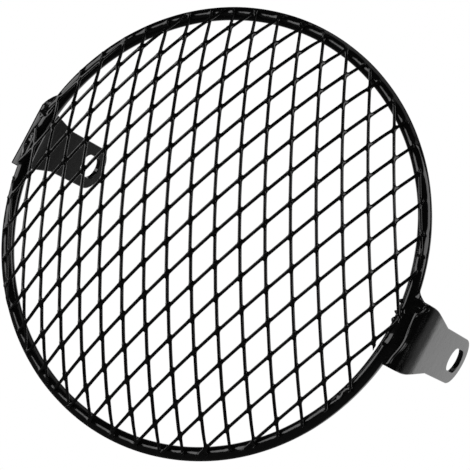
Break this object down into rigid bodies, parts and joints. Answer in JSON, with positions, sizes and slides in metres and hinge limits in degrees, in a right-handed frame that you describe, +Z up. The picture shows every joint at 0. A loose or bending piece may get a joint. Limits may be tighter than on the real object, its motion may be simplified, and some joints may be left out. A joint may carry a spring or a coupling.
{
  "type": "headlight guard",
  "caption": "Round headlight guard: a domed diamond-mesh grille on a rod ring, with two bent side plates whose slotted tabs bolt to a motorcycle headlight",
  "frame": {"origin": "on the line through the middles of the two bolt slots, halfway between the two tabs", "axes": "+X to the guard's side at the picture's lower right, +Y rearwards along the tabs towards the motorcycle, so that the dome faces -Y, +Z up"},
  "size_m": [0.1878, 0.0936, 0.178],
  "materials": {
    "ring": "gloss black paint",
    "mesh": "gloss black paint",
    "plate": "gloss black paint",
    "weld": "gloss black paint over the weld"
  },
  "bodies": {
    "root": {"ring_rod": "ring", "mesh_grille": "mesh", "side_plate_right": "plate", "side_plate_left": "plate", "weld_right_front": "weld", "weld_right_rear": "weld", "weld_left_front": "weld", "weld_left_rear": "weld"}
  },
  "joints": []
}
